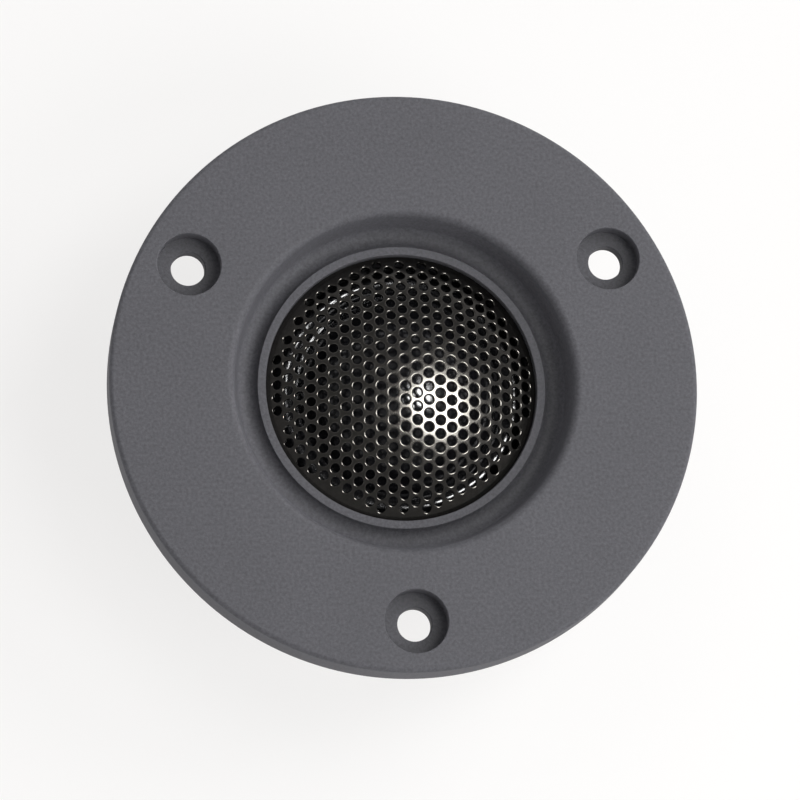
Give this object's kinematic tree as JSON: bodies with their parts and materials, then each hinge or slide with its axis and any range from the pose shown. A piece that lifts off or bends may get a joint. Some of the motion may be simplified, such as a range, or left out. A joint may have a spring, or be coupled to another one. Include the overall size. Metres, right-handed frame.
{
  "type": "dome tweeter",
  "caption": "Round flange-mount car tweeter with a dark alloy faceplate, a recessed collar round a domed perforated grille, and a ferrite motor behind.",
  "frame": {"origin": "centre of the motor's flat back face, which is the lowest point of the part", "axes": "+Z along the turning axis, out of the front; +Y towards the terminals; the lone lower mounting hole is at -Y; +X to the right seen from the front"},
  "size_m": [0.074, 0.074, 0.025],
  "materials": {
    "coated_alloy": "fine matte powder coat, dark grey",
    "grille_steel": "perforated sheet, gloss black with a warm cast",
    "dome_silk": "coated silk, semi-gloss black",
    "former_foil": "plain foil",
    "copper_wire": "enamelled copper wire",
    "black_plastic": "moulded, fine texture",
    "foam": "closed-cell foam",
    "plated_steel": "zinc plated, turned",
    "ferrite": "ground ferrite, dull dark grey",
    "felt": "pressed wool felt",
    "tinned_brass": "tinned strip",
    "screw_steel": "black zinc"
  },
  "bodies": {
    "chassis": {"faceplate": "coated_alloy", "grille": "grille_steel", "surround": "dome_silk", "lead_wire_positive": "copper_wire", "lead_wire_negative": "copper_wire", "diaphragm_carrier": "black_plastic", "front_gasket": "foam", "locating_pin_1": "plated_steel", "locating_pin_2": "plated_steel", "top_plate": "plated_steel", "magnet": "ferrite", "yoke": "plated_steel", "damping_felt": "felt", "terminal_block": "black_plastic", "terminal_positive": "tinned_brass", "terminal_negative": "tinned_brass", "motor_screw_1": "screw_steel", "motor_screw_2": "screw_steel", "motor_screw_3": "screw_steel"},
    "diaphragm": {"diaphragm_dome": "dome_silk", "voice_coil_former": "former_foil", "voice_coil_winding": "copper_wire"}
  },
  "joints": [
    {"name": "diaphragm_travel", "type": "slide", "parent": "chassis", "child": "diaphragm", "axis": [0, 0, 1], "range_m": [-0.0005, 0.0005], "stiffness_N_per_m": 30, "deforming": ["surround", "lead_wire_positive", "lead_wire_negative"]}
  ]
}
